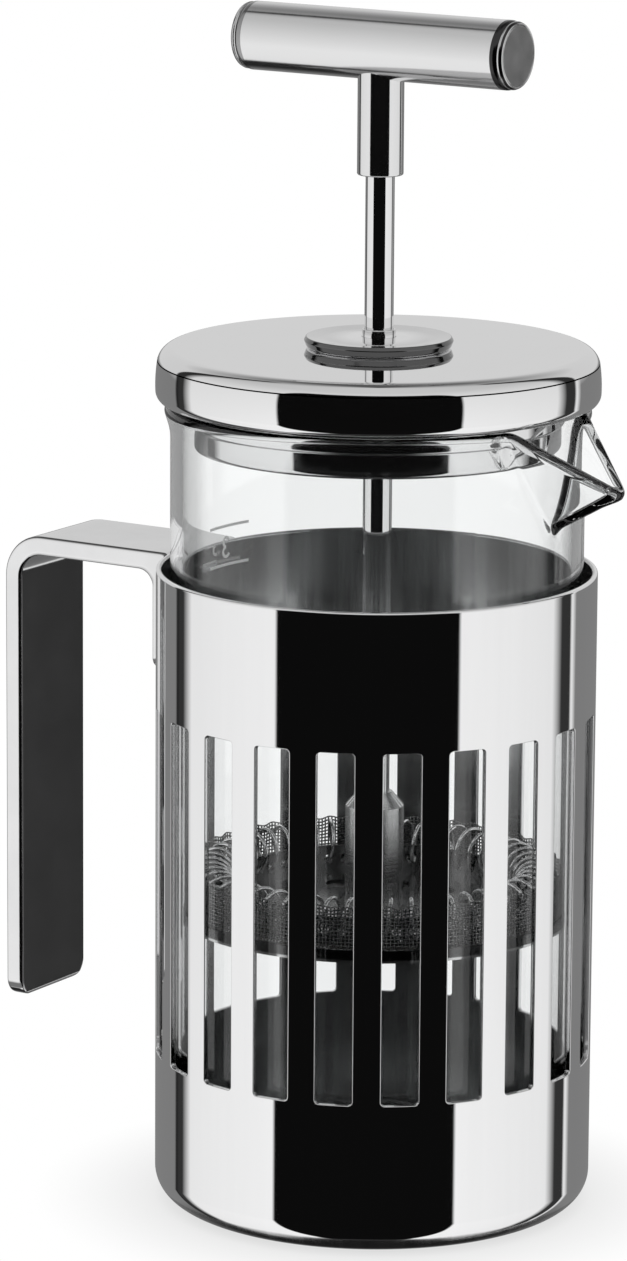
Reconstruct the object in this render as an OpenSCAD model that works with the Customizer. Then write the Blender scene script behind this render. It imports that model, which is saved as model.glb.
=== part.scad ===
// French press: a glass beaker in a slotted steel cage with a strap handle, a steel lid and a
// T-handled plunger. Millimetres, +Z up, origin on the table at the centre of the cage's base,
// pouring lip towards +X, handle towards -X. The plunger stands part of the way up.

/* [Beaker] */
// Outside diameter of the glass
glass_d = 70; // [56:1:90]
// Wall of the glass
glass_wall = 2; // [1.6:0.1:2.6]
// Floor of the glass
glass_floor = 2.5; // [2:0.1:4]
// Height of the glass
glass_h = 137.3; // [112:1:168]
// Radius of the outside corner at the foot of the glass
glass_corner = 9; // [6:0.5:12]
// How far the rim flares past the wall
rim_flare = 1; // [0.4:0.1:1.5]

/* [Pouring lip] */
// Reach of the lip past the glass wall
lip_reach = 13.5; // [9:0.5:17]
// Half of the angle that the lip takes out of the rim
lip_half_angle = 19; // [13:1:24]
// Drop of the lip's tip below the rim
lip_drop = 10.6; // [6:0.5:14]
// Height of the lip's crease where it leaves the wall, below the rim
lip_depth = 18.6; // [15:0.5:24]

/* [Cage] */
// Thickness of the cage's sheet
cage_t = 1; // [0.7:0.1:1.5]
// Gap between the glass and the cage
cage_gap = 1.4; // [0.6:0.05:2]
// Height of the cage
cage_h = 110; // [90:1:114]
// Radius of the cage's lower corner
cage_corner = 5.2; // [4:0.2:8]
// Number of slots
slot_count = 21; // [11:2:23]
// Width of a slot
slot_w = 6.4; // [4:0.1:7.4]
// Height of the solid band under the slots
slot_foot = 26.2; // [14:0.5:34]
// Height of the solid band over the slots
slot_head = 23.7; // [22:0.5:30]
// Radius of a slot's corners
slot_corner = 0.8; // [0.4:0.1:1.5]

/* [Handle] */
// Width of the strap
strap_w = 19.5; // [14:0.5:22]
// Thickness of the strap
strap_t = 3.3; // [2.5:0.1:4]
// Reach of the grip's outer face past the cage
grip_reach = 32.5; // [26:0.5:38]
// Height of the grip's lower end over the table
grip_foot = 26.5; // [10:0.5:45]
// Outside radius of the bend at the top of the grip
grip_bend = 7.5; // [5.5:0.5:9]
// Thickness of the flange that is welded to the cage
flange_t = 1.8; // [1.2:0.1:2.5]
// Height of the flange
flange_h = 20.7; // [14:0.5:22]
// Radius of the strap's end corners
strap_corner = 3; // [1:0.5:5]

/* [Lid] */
// Overhang of the lid past the glass rim
lid_overhang = 1.6; // [1:0.1:3]
// Height of the lid's cap
lid_h = 9.1; // [7:0.1:12]
// Sheet of the cap
lid_t = 0.8; // [0.6:0.1:1]
// Radius of the cap's upper edge
lid_top_edge = 1.5; // [1:0.1:2.5]
// Radius of the cap's lower, curled edge
lid_low_edge = 2.5; // [1.5:0.1:3]
// Depth of the pan that hangs into the glass
pan_depth = 7.7; // [5:0.1:10]
// Sheet of the pan
pan_t = 0.6; // [0.4:0.1:0.8]
// Gap between the pan and the inside of the glass
pan_gap = 1.5; // [0.5:0.1:3]
// Step in the pan's wall
pan_step = 0.6; // [0.3:0.1:1]
// Height of the pan's wall over the step
pan_neck = 3.2; // [1.5:0.1:4]
// Diameter of the boss on the lid
boss_d = 25.2; // [18:0.2:32]
// Height of the boss
boss_h = 2; // [1.4:0.1:3]

/* [Plunger] */
// Diameter of the rod
rod_d = 4.9; // [4:0.1:6]
// Height of the filter's underside over the table, as the plunger stands
filter_z = 49.7; // [40:0.5:60]
// Height of the stem's lower end over the lid's boss, as the plunger stands
plunger_stroke = 27.2; // [12:0.5:34]
// Diameter of the stem under the crossbar
stem_d = 7.8; // [6.8:0.1:10]
// Length of the stem, from its lower end to the crossbar's axis
stem_len = 21.7; // [16:0.5:28]
// Diameter of the crossbar
bar_d = 11.6; // [9:0.2:14]
// Length of the crossbar
bar_len = 52.8; // [40:0.2:70]
// Wall of the crossbar's tube
bar_wall = 0.8; // [0.6:0.1:1.2]
// Thickness of the crossbar's end caps
bar_cap = 2.2; // [1.5:0.1:3]

/* [Guide bush] */
// Wall of the bush's neck, which shows round the rod
bush_neck_wall = 0.35; // [0.3:0.05:1]
// Height of the neck over the boss
bush_neck_h = 1.2; // [0.6:0.1:2]
// Wall of the bush's tail, through the pan
bush_tail_wall = 1.7; // [1.2:0.1:2.2]
// How far the bush's shoulder stands out past its tail, inside the lid
bush_shoulder = 1.3; // [0.8:0.1:2]
// Running clearance on the radius, rod in bush and bush in lid
run_gap = 0.05; // [0.02:0.01:0.1]
// Length of the bush's tail under the pan
bush_tail = 1.6; // [1.2:0.1:3]

/* [Filter] */
// Gap between the filter and the inside of the glass
filter_gap = 0.3; // [0.3:0.05:1]
// Sheet of the lower plate
low_plate_t = 0.8; // [0.6:0.1:1.2]
// Height of the lower plate's rim
low_plate_rim = 2.1; // [1.4:0.1:3]
// Thickness of the mesh
mesh_t = 0.3; // [0.2:0.05:0.4]
// Height of the mesh's upturned wall
mesh_wall = 8.8; // [7:0.1:11]
// Sheet of the spring plate
spring_plate_t = 0.6; // [0.4:0.1:0.8]
// Height of the spring plate's upturned edge
spring_plate_edge = 4.9; // [4:0.1:5.5]
// Diameter of the coil's turns, outside
coil_d = 8; // [7:0.1:9]
// Diameter of the coil's wire
coil_wire = 0.7; // [0.5:0.05:0.9]
// Number of the coil's turns
coil_turns = 53; // [40:1:58]
// Diameter of the hub
hub_d = 10; // [8.6:0.1:12]
// Height of the hub
hub_h = 20; // [12:0.5:26]
// Height of the hub's cone
hub_cone = 2.4; // [1.5:0.1:4]

/* [Fastening] */
// Width of the clamp nut across its flats
nut_af = 8; // [7.5:0.1:10]
// Height of the clamp nut
nut_h = 3.2; // [2.5:0.1:4]
// Diameter of the washer
washer_d = 10; // [9.5:0.1:14]
// Thickness of the washer
washer_t = 0.8; // [0.5:0.1:1.2]

/* [Hidden] */
$fn = 96;
cut = 1;                                        // how far a cutter runs past what it cuts
seat_gap = 0.1;                                 // between the glass and what it stands on or carries

// glass
glass_r = glass_d / 2;
bore_r = glass_r - glass_wall;
glass_z = cage_t + seat_gap;
rim_z = glass_z + glass_h;
rim_r = glass_r + rim_flare;
bead_r = (glass_wall + rim_flare / 2) / 2;      // radius of the bead that rounds the rim
lip_wall_r = 0.9;                               // rounding of the lip's outer edges
lip_corner_fn = 8;                              // facets round them
lip_tip_r = glass_r + lip_reach - lip_wall_r;
lip_side_in = 1.3;                              // wall across the lip's sides, in times of the glass's wall
lip_tip_in = 1.1;                               // wall at its tip
lip_crease_in = 1.3;                            // height of glass over its crease

// cage
cage_r = glass_r + cage_gap + cage_t;
slot_h = cage_h - slot_foot - slot_head;
slot_pitch = 360 / slot_count;

// handle
grip_r = cage_r + grip_reach;                   // the grip's outer face
fillet_r = 3;                                   // between the arm and the flange
flange_r = cage_r + flange_t;
flange_seat = 0.3;                              // depth of the flange's hollow that fits the cage

// lid
lid_r = rim_r + lid_overhang;
lid_z = rim_z + 3 * seat_gap;
lid_top = lid_z + lid_h;
curl_r = lid_r - lid_low_edge;                  // where the cap's curl ends and the pan starts
pan_r = bore_r - pan_gap;
pan_z = lid_z - pan_depth;
pan_step_z = lid_z - pan_neck;
boss_top = lid_top + boss_h;
boss_edge = boss_h / 2 - 0.1;                   // radius of the boss's rounded rim

// plunger
rod_r = rod_d / 2;
stem_z = boss_top + plunger_stroke;
bar_z = stem_z + stem_len;
bar_r = bar_d / 2;
rod_in_stem = stem_len / 2;
rod_end = 0.8;                                  // the rod's end shows under the nut
bar_bore_r = bar_r - bar_wall;
cap_plug = 4;                                   // length of the end cap's plug inside the tube

// bush
bush_bore_r = rod_r + run_gap;
neck_r = bush_bore_r + bush_neck_wall;
tail_r = bush_bore_r + bush_tail_wall;
shoulder_r = tail_r + bush_shoulder;
neck_top = boss_top + bush_neck_h;
shoulder_z = pan_z + pan_t + run_gap;
shoulder_top = lid_top - lid_t - run_gap;
tail_z = pan_z - bush_tail;
clip_gap = 0.15;                                // between the pan and the retainer under it
clip_w = 1.6;                                   // width of the retainer's ring
clip_r = tail_r + clip_w;

// filter, from its underside up
filter_r = bore_r - filter_gap;
plate_sheet = 0.5;                              // sheet of the lower plate's rim
mesh_r = filter_r - plate_sheet;
mesh_z = filter_z + low_plate_t;
spring_plate_z = mesh_z + mesh_t;
hub_z = spring_plate_z + spring_plate_t;
hub_top = hub_z + hub_h;
coil_path_r = (coil_d - coil_wire) / 2;         // radius of a turn, at the wire's middle
coil_ring_r = mesh_r - mesh_t - 0.1 - coil_d / 2;
coil_z = hub_z + 0.3 + coil_d / 2;
edge_share = 0.64;                              // share of a turn's radius, from its middle to the edge
edge_r = coil_ring_r - edge_share * coil_path_r;
coil_steps = 8;                                 // straight stretches in one turn of the coil
hole_phase = 180 + acos(edge_share);            // where a turn passes through the edge, mid-stretch
hole_gap = 0.5;                                 // round the wire where it passes the edge
hole_z = coil_z + coil_path_r * (cos(180 / coil_steps) - edge_share * edge_share) / sin(hole_phase);
hole_r = coil_wire / 2 + hole_gap;
washer_z = filter_z - washer_t;
nut_z = washer_z - nut_h;
rod_z = nut_z - rod_end;

// A ring with a square section, round Z
module ring(r_in, r_out, z0, z1) {
    rotate_extrude() translate([r_in, z0]) square([r_out - r_in, z1 - z0]);
}

// Half section of a round block, with its lower and upper outer corners rounded
module block_section(r, z0, z1, low, top) {
    translate([0, z0]) square([r - low, z1 - z0]);
    translate([0, z0 + low]) square([r, z1 - z0 - low - top]);
    translate([0, z0 + low]) square([r - top, z1 - z0 - low]);
    translate([r - low, z0 + low]) circle(low);
    translate([r - top, z1 - top]) circle(top);
}

// Flat outline of width w and height h standing on the X axis, with all corners rounded
module rounded_outline(w, h, r) {
    translate([-w / 2, r]) square([w, h - 2 * r]);
    translate([-w / 2 + r, 0]) square([w - 2 * r, h]);
    for (x = [-w / 2 + r, w / 2 - r], y = [r, h - r]) translate([x, y]) circle(r);
}

// Half of the ring's section that is open at the top: a cup's wall and floor
module cup_section(r, z0, z1, wall, floor_t, corner) {
    difference() {
        translate([0, z0]) {
            translate([0, corner]) square([r, z1 - z0 - corner]);
            square([r - corner, z1 - z0]);
            translate([r - corner, corner]) circle(corner);
        }
        translate([0, z0 + floor_t]) {
            translate([0, corner - wall]) square([r - wall, z1 - z0]);
            square([r - corner, z1 - z0]);
            translate([r - corner, corner - wall]) circle(corner - wall);
        }
        translate([-r, z0 - cut]) square([r, z1 - z0 + 2 * cut]);
    }
}

module cage() {
    color("silver") difference() {
        rotate_extrude() cup_section(cage_r, 0, cage_h, cage_t, cage_t, cage_corner);
        for (i = [0 : slot_count - 1]) rotate([90, 0, i * slot_pitch + 90])
            translate([0, slot_foot, cage_r - cage_t - cut])
                linear_extrude(cage_t + 2 * cut) rounded_outline(slot_w, slot_h, slot_corner);
    }
}

// Side view of the strap without its flange: x outwards from the axis, y up
module strap_profile() {
    grip_in = grip_r - strap_t;
    window_z = grip_foot - cut;
    window_h = cage_h - strap_t - window_z;
    inner_bend = grip_bend - strap_t;
    arm_in = flange_r + fillet_r;
    arm_out = grip_in - inner_bend;
    difference() {
        union() {
            translate([0, grip_foot]) square([grip_r - grip_bend, cage_h - grip_foot]);
            translate([0, grip_foot]) square([grip_r, cage_h - grip_foot - grip_bend]);
            translate([grip_r - grip_bend, cage_h - grip_bend]) circle(grip_bend);
        }
        translate([0, window_z]) {
            square([arm_in, window_h - fillet_r]);
            translate([arm_in, 0]) square([arm_out - arm_in, window_h]);
            translate([arm_out, 0]) square([inner_bend, window_h - inner_bend]);
            translate([arm_in, window_h - fillet_r]) circle(fillet_r);
            translate([arm_out, window_h - inner_bend]) circle(inner_bend);
        }
    }
}

// Front view of a strap end, from its foot up to the top of the cage
module strap_front(foot) {
    rounded_outline(strap_w, cage_h - foot, strap_corner);
    translate([-strap_w / 2, strap_corner]) square([strap_w, cage_h - foot - strap_corner]);
}

module handle_strap() {
    color("silver") difference() {
        union() {
            intersection() {
                rotate([90, 0, 180]) translate([0, 0, -strap_w / 2]) linear_extrude(strap_w) strap_profile();
                translate([0, 0, grip_foot]) rotate([90, 0, -90])
                    linear_extrude(grip_r + cut) strap_front(grip_foot);
            }
            intersection() {
                translate([-flange_r, -strap_w / 2, cage_h - flange_h])
                    cube([flange_t + flange_seat, strap_w, flange_h]);
                translate([0, 0, cage_h - flange_h]) rotate([90, 0, -90])
                    linear_extrude(grip_r) strap_front(cage_h - flange_h);
            }
        }
        translate([0, 0, grip_foot - cut]) cylinder(h = cage_h, r = cage_r);
    }
}

// Ball that rounds the lip's corners
module lip_corner() {
    sphere(lip_wall_r, $fn = lip_corner_fn);
}

// Wedge with a V-shaped underside that runs out from the wall to the lip's tip. The inner one is smaller
// on every side by about the glass's wall and taller, and cuts the channel that is poured through.
module lip_body(inner) {
    wall = inner ? glass_wall : 0;
    heights = inner ? [0, lip_depth] : [0];
    root_r = bore_r - cut;
    top = rim_z - lip_wall_r;
    side_y = sin(lip_half_angle);
    side_x = cos(lip_half_angle);
    side_in = lip_side_in * wall;
    hull() for (up = heights) translate([0, 0, up]) {
        for (s = [-1, 1]) {
            translate([rim_r * side_x - lip_wall_r, s * (rim_r * side_y - side_in), top]) lip_corner();
            translate([root_r * side_x, s * (root_r * side_y - side_in), top]) lip_corner();
        }
        translate([lip_tip_r - lip_tip_in * wall, 0, top - lip_drop + lip_tip_in / 2 * wall]) lip_corner();
        translate([root_r, 0, top - lip_depth + lip_crease_in * wall]) lip_corner();
    }
}

module beaker() {
    color("lightcyan", 0.4) difference() {
        union() {
            rotate_extrude()
                cup_section(glass_r, glass_z, rim_z - bead_r, glass_wall, glass_floor, glass_corner);
            rotate_extrude() translate([rim_r - bead_r, rim_z - bead_r]) circle(bead_r);
            lip_body(false);
        }
        translate([0, 0, rim_z - lip_depth - 3 * cut]) cylinder(h = lip_depth + 4 * cut, r = bore_r);
        lip_body(true);
    }
}

module lid_cap() {
    color("silver") difference() {
        rotate_extrude() difference() {
            block_section(lid_r, lid_z, lid_top, lid_low_edge, lid_top_edge);
            block_section(lid_r - lid_t, lid_z + lid_t, lid_top - lid_t,
                          lid_low_edge - lid_t, lid_top_edge - lid_t);
            translate([0, lid_z - cut]) square([curl_r, lid_t + 2 * cut]);
        }
        translate([0, 0, lid_z]) cylinder(h = lid_h + cut, r = neck_r + run_gap);
    }
}

module lid_boss() {
    color("silver") difference() {
        rotate_extrude() block_section(boss_d / 2, lid_top, boss_top, boss_edge, boss_edge);
        translate([0, 0, lid_top - cut]) cylinder(h = boss_h + 2 * cut, r = neck_r + run_gap);
    }
}

module lid_pan() {
    low_r = pan_r - pan_step;
    color("gainsboro") union() {
        ring(pan_r - pan_t, curl_r, lid_z, lid_z + pan_t);
        ring(pan_r - pan_t, pan_r, pan_step_z, lid_z + pan_t / 2);
        ring(low_r - pan_t, pan_r, pan_step_z, pan_step_z + pan_t);
        ring(low_r - pan_t, low_r, pan_z, pan_step_z + pan_t / 2);
        ring(tail_r + run_gap, low_r, pan_z, pan_z + pan_t);
    }
}

module guide_bush() {
    color("dimgray") difference() {
        union() {
            translate([0, 0, shoulder_z]) cylinder(h = neck_top - shoulder_z, r = neck_r);
            translate([0, 0, shoulder_z]) cylinder(h = shoulder_top - shoulder_z, r = shoulder_r);
            translate([0, 0, tail_z]) cylinder(h = shoulder_z - tail_z + cut, r = tail_r);
        }
        translate([0, 0, tail_z - cut]) cylinder(h = neck_top - tail_z + 2 * cut, r = bush_bore_r);
    }
}

module bush_retainer() {
    color("silver") ring(tail_r, clip_r, tail_z, pan_z - clip_gap);
}

module plunger_rod() {
    color("silver") translate([0, 0, rod_z]) cylinder(h = stem_z + rod_in_stem - rod_z, r = rod_r);
}

// Cutter of the crossbar's outside, along X
module bar_body(r, len) {
    translate([-len / 2, 0, bar_z]) rotate([0, 90, 0]) cylinder(h = len, r = r);
}

module knob_stem() {
    color("silver") difference() {
        translate([0, 0, stem_z]) cylinder(h = stem_len, r = stem_d / 2);
        bar_body(bar_r, bar_len);
        translate([0, 0, stem_z - cut]) cylinder(h = rod_in_stem + cut, r = rod_r);
    }
}

module crossbar_tube() {
    tube_len = bar_len - 2 * bar_cap;
    color("silver") difference() {
        bar_body(bar_r, tube_len);
        bar_body(bar_bore_r, bar_len);
    }
}

// End cap on the +X side: a rounded disc and the plug that holds it in the tube
module end_cap() {
    edge = bar_cap / 3;
    face = bar_len / 2;
    translate([0, 0, bar_z]) rotate([0, 90, 0]) {
        rotate_extrude() block_section(bar_r, face - bar_cap, face, edge, edge);
        translate([0, 0, face - bar_cap - cap_plug]) cylinder(h = cap_plug + cut, r = bar_bore_r);
    }
}

module crossbar_cap_front() {
    color("gray") end_cap();
}

module crossbar_cap_rear() {
    color("gray") mirror([1, 0, 0]) end_cap();
}

module hub_sleeve() {
    color("silver") difference() {
        union() {
            translate([0, 0, hub_z]) cylinder(h = hub_h - hub_cone, r = hub_d / 2);
            translate([0, 0, hub_top - hub_cone]) cylinder(h = hub_cone, r1 = hub_d / 2, r2 = rod_r + 0.5);
        }
        translate([0, 0, hub_z - cut]) cylinder(h = hub_h + 2 * cut, r = rod_r);
    }
}

// Evenly spaced holes down through a plate
module flow_holes(count, ring_r, r, z, t) {
    for (i = [0 : count - 1]) rotate([0, 0, i * 360 / count])
        translate([ring_r, 0, z - cut]) cylinder(h = t + 2 * cut, r = r, $fn = 48);
}

module spring_plate() {
    flow_ring_r = (hub_d / 2 + edge_r) / 2;
    color("silver") difference() {
        union() {
            ring(rod_r, edge_r, spring_plate_z, hub_z);
            ring(edge_r - spring_plate_t / 2, edge_r + spring_plate_t / 2, spring_plate_z,
                 spring_plate_z + spring_plate_edge);
        }
        flow_holes(10, flow_ring_r, 2.6, spring_plate_z, spring_plate_t);
        for (i = [0 : coil_turns - 1]) rotate([0, 0, (i + hole_phase / 360) * 360 / coil_turns])
            translate([edge_r - cut, 0, hole_z]) rotate([0, 90, 0])
                cylinder(h = 2 * cut, r = hole_r, $fn = 24);
    }
}

// The coil's path: the angle a runs once round a turn for each step of 360
function coil_ring_angle(a) = a / coil_turns;
function coil_point(a, r) =
    let (q = coil_ring_angle(a), d = coil_ring_r + r * cos(a))
    [d * cos(q), d * sin(q), coil_z + r * sin(a)];

// A section is a square across the wire
function coil_section(a) =
    let (q = coil_ring_angle(a), half = coil_wire / 2,
         along = [-sin(q), cos(q), 0],
         rise = coil_path_r * 2 * PI * coil_turns / (2 * PI * coil_ring_r),
         tilt = atan(1 / rise),
         across = [-sin(a) * cos(q), -sin(a) * sin(q), cos(a)],
         side = cos(tilt) * along - sin(tilt) * across)
    [coil_point(a, coil_path_r + half), coil_point(a, coil_path_r) + half * side,
     coil_point(a, coil_path_r - half), coil_point(a, coil_path_r) - half * side];

module coil_spring() {
    n = coil_turns * coil_steps;
    points = [for (i = [0 : n - 1]) each coil_section((i + 0.5) * 360 / coil_steps + hole_phase)];
    faces = [for (i = [0 : n - 1], j = [0 : 3])
        let (this = i * 4, next = (i + 1) % n * 4, k = (j + 1) % 4)
        each [[this + j, this + k, next + k], [this + j, next + k, next + j]]];
    color("gray") polyhedron(points, faces, convexity = 10);
}

module mesh_screen() {
    color("dimgray") union() {
        ring(rod_r, mesh_r, mesh_z, mesh_z + mesh_t);
        ring(mesh_r - mesh_t, mesh_r, mesh_z, mesh_z + mesh_wall);
    }
}

module lower_plate() {
    color("silver") difference() {
        union() {
            ring(rod_r, filter_r, filter_z, filter_z + low_plate_t);
            ring(mesh_r, filter_r, filter_z, filter_z + low_plate_rim);
        }
        flow_holes(6, filter_r * 0.32, 2.6, filter_z, low_plate_t);
        flow_holes(12, filter_r * 0.56, 3.2, filter_z, low_plate_t);
        flow_holes(18, filter_r * 0.82, 3.2, filter_z, low_plate_t);
    }
}

module lock_washer() {
    color("silver") ring(rod_r, washer_d / 2, washer_z, filter_z);
}

module clamp_nut() {
    color("gray") difference() {
        translate([0, 0, nut_z]) cylinder(h = nut_h, r = nut_af / 2 / cos(30), $fn = 6);
        translate([0, 0, nut_z - cut]) cylinder(h = nut_h + 2 * cut, r = rod_r);
    }
}

cage();
handle_strap();
beaker();
lid_cap();
lid_boss();
lid_pan();
guide_bush();
bush_retainer();
plunger_rod();
knob_stem();
crossbar_tube();
crossbar_cap_front();
crossbar_cap_rear();
hub_sleeve();
spring_plate();
coil_spring();
mesh_screen();
lower_plate();
lock_washer();
clamp_nut();
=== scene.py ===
# A small press pot: glass beaker in a slotted polished cage, strap handle, steel lid, T-handled plunger.
import math

import bpy
import numpy as np
from mathutils import Matrix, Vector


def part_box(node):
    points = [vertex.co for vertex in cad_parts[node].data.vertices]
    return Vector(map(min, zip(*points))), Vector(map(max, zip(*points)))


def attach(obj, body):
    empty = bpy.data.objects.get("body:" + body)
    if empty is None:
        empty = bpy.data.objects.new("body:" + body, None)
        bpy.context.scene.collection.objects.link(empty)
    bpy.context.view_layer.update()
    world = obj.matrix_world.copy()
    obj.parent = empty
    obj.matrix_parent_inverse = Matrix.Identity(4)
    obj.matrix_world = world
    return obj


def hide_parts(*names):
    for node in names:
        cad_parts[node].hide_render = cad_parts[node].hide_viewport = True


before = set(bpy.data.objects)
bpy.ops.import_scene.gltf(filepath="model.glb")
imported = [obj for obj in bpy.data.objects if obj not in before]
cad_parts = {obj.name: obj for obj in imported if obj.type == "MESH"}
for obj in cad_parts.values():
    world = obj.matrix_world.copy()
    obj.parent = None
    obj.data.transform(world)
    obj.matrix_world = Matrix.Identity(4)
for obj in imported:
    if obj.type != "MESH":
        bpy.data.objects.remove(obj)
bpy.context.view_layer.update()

mm = 0.001
fullTurn = 2 * math.pi


def outline(corners, closed=True, arcSteps=7):
    # Corner points (x, y, radius) joined by straight lines, each corner rounded by an arc that meets both
    # lines smoothly. Gives the points and their normals, to the right of the way the outline runs.
    corner = np.array(corners, float)
    xy, radius = corner[:, :2], corner[:, 2]
    before = np.roll(xy, 1, 0) - xy
    after = np.roll(xy, -1, 0) - xy
    if not closed:
        before[0], after[-1] = -after[0], -before[-1]
    before /= np.linalg.norm(before, axis=1)[:, None]
    after /= np.linalg.norm(after, axis=1)[:, None]
    normalIn = np.stack([-before[:, 1], before[:, 0]], -1)
    normalOut = np.stack([after[:, 1], -after[:, 0]], -1)
    bend = np.arctan2(normalIn[:, 0] * normalOut[:, 1] - normalIn[:, 1] * normalOut[:, 0],
                      (normalIn * normalOut).sum(1))
    side = np.sign(bend)[:, None]
    reach = (radius * np.abs(np.tan(bend / 2)))[:, None]
    centre = xy + before * reach - side * normalIn * radius[:, None]
    part = np.linspace(0, 1, arcSteps + 1)[None, :]
    angle = np.arctan2(normalIn[:, 1], normalIn[:, 0])[:, None] + bend[:, None] * part
    normal = np.stack([np.cos(angle), np.sin(angle)], -1)
    point = centre[:, None] + side[:, None] * normal * radius[:, None, None]
    # a sharp corner keeps two points, one for each line's normal
    keep = np.ones(angle.shape, bool)
    keep[radius == 0, 1:-1] = False
    if not closed:
        keep[0, 1:] = False
        keep[-1, 1:] = False
    return point[keep], normal[keep]


def gridQuads(rows, columns, closeRows, closeColumns):
    # Corner numbers of the quads of a grid of points, rows by columns.
    row = np.arange(rows if closeRows else rows - 1)[:, None]
    column = np.arange(columns if closeColumns else columns - 1)[None, :]
    nextRow, nextColumn = (row + 1) % rows, (column + 1) % columns
    corners = [row * columns + column, row * columns + nextColumn,
               nextRow * columns + nextColumn, nextRow * columns + column]
    return np.stack(np.broadcast_arrays(*corners), -1).reshape(-1, 4)


def addPiece(name, points, quads, finish, body, nodes=(), normals=None, flat=None):
    # Points that coincide are joined, so that seams and poles close, and a quad that loses a corner
    # becomes a triangle. normals and flat, the place on the unrolled sheet, go to each face's own corners.
    points = points.reshape(-1, 3)
    key = np.round(points / (0.0005 * mm)).astype(np.int64)
    _, first, index = np.unique(key, axis=0, return_index=True, return_inverse=True)
    joined = index.reshape(-1)[quads]
    same = joined == np.roll(joined, -1, 1)
    whole = same.sum(1) == 0
    cut = same.sum(1) == 1
    triangles = joined[cut][~same[cut]].reshape(-1, 3)
    source = np.concatenate([quads[whole].ravel(), quads[cut][~same[cut]]])
    mesh = bpy.data.meshes.new(name)
    mesh.from_pydata(points[first].tolist(), [], joined[whole].tolist() + triangles.tolist())
    mesh.polygons.foreach_set("use_smooth", np.ones(len(mesh.polygons), bool))
    if flat is not None:
        layer = mesh.uv_layers.new(name="flatSheet")
        layer.data.foreach_set("uv", flat.reshape(-1, 2)[source].astype(np.float32).ravel())
    mesh.update()
    if normals is not None:
        mesh.normals_split_custom_set(normals.reshape(-1, 3)[source].tolist())
    mesh.materials.append(finish)
    piece = bpy.data.objects.new(name, mesh)
    bpy.context.scene.collection.objects.link(piece)
    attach(piece, body)
    if nodes:
        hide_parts(*nodes)
    return piece


def carryRound(profile, normals, turn):
    # An outline of (radius, height) carried round Z: x = r cos(t), y = r sin(t), z = height.
    swing = np.stack([np.cos(turn), np.sin(turn)], -1)

    def carry(flat):
        ring = flat[:, None, :1] * swing[None]
        height = np.repeat(flat[:, None, 1:], len(turn), 1)
        return np.concatenate([ring, height], -1)

    return carry(profile), carry(normals)


def turned(name, corners, finish, body, nodes=(), closed=True, around=192, arcSteps=7, axisHeight=None):
    # A turned piece. With axisHeight it turns about a line along X at that height, and the outline's
    # heights run out along X.
    turn = np.arange(around) / around * fullTurn
    points, normals = carryRound(*outline(corners, closed, arcSteps), turn)
    quads = gridQuads(len(points), around, closed, True)
    if axisHeight is not None:
        points = points[..., [2, 0, 1]] + [0, 0, axisHeight]
        normals = normals[..., [2, 0, 1]]
    return addPiece(name, points * mm, quads, finish, body, nodes, normals)


def nodeSize(node):
    # Lowest and highest corner of a node, in millimetres.
    low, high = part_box(node)
    return np.array(low) / mm, np.array(high) / mm


def ease(value):
    # 0 to 1 with level ends.
    value = np.clip(value, 0, 1)
    return value * value * (3 - 2 * value)


class Socket:
    # Wraps an output, so that shader maths can be written as an expression.
    def __init__(self, tree, output):
        self.tree, self.output = tree, output

    def math(self, operation, *others, swap=False, clamp=False):
        node = self.tree.nodes.new("ShaderNodeMath")
        node.operation, node.use_clamp = operation, clamp
        terms = [self, *others][::-1] if swap else [self, *others]
        for socket, term in zip(node.inputs, terms):
            if isinstance(term, Socket):
                self.tree.links.new(term.output, socket)
            else:
                socket.default_value = term
        return Socket(self.tree, node.outputs[0])

    def __add__(self, other):
        return self.math("ADD", other)

    def __radd__(self, other):
        return self.math("ADD", other)

    def __sub__(self, other):
        return self.math("SUBTRACT", other)

    def __rsub__(self, other):
        return self.math("SUBTRACT", other, swap=True)

    def __mul__(self, other):
        return self.math("MULTIPLY", other)

    def __rmul__(self, other):
        return self.math("MULTIPLY", other)

    def __truediv__(self, other):
        return self.math("DIVIDE", other)

    def __neg__(self):
        return self.math("MULTIPLY", -1)

    def __abs__(self):
        return self.math("ABSOLUTE")

    def clamped(self):
        return self.math("ADD", 0, clamp=True)

    def above(self, edge, soft):
        return ((self - edge) / soft + 0.5).clamped()

    def within(self, low, high, soft):
        return self.above(low, soft) * (1 - self.above(high, soft))

    def mixed(self, low, high):
        return low + self * (high - low)


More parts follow.
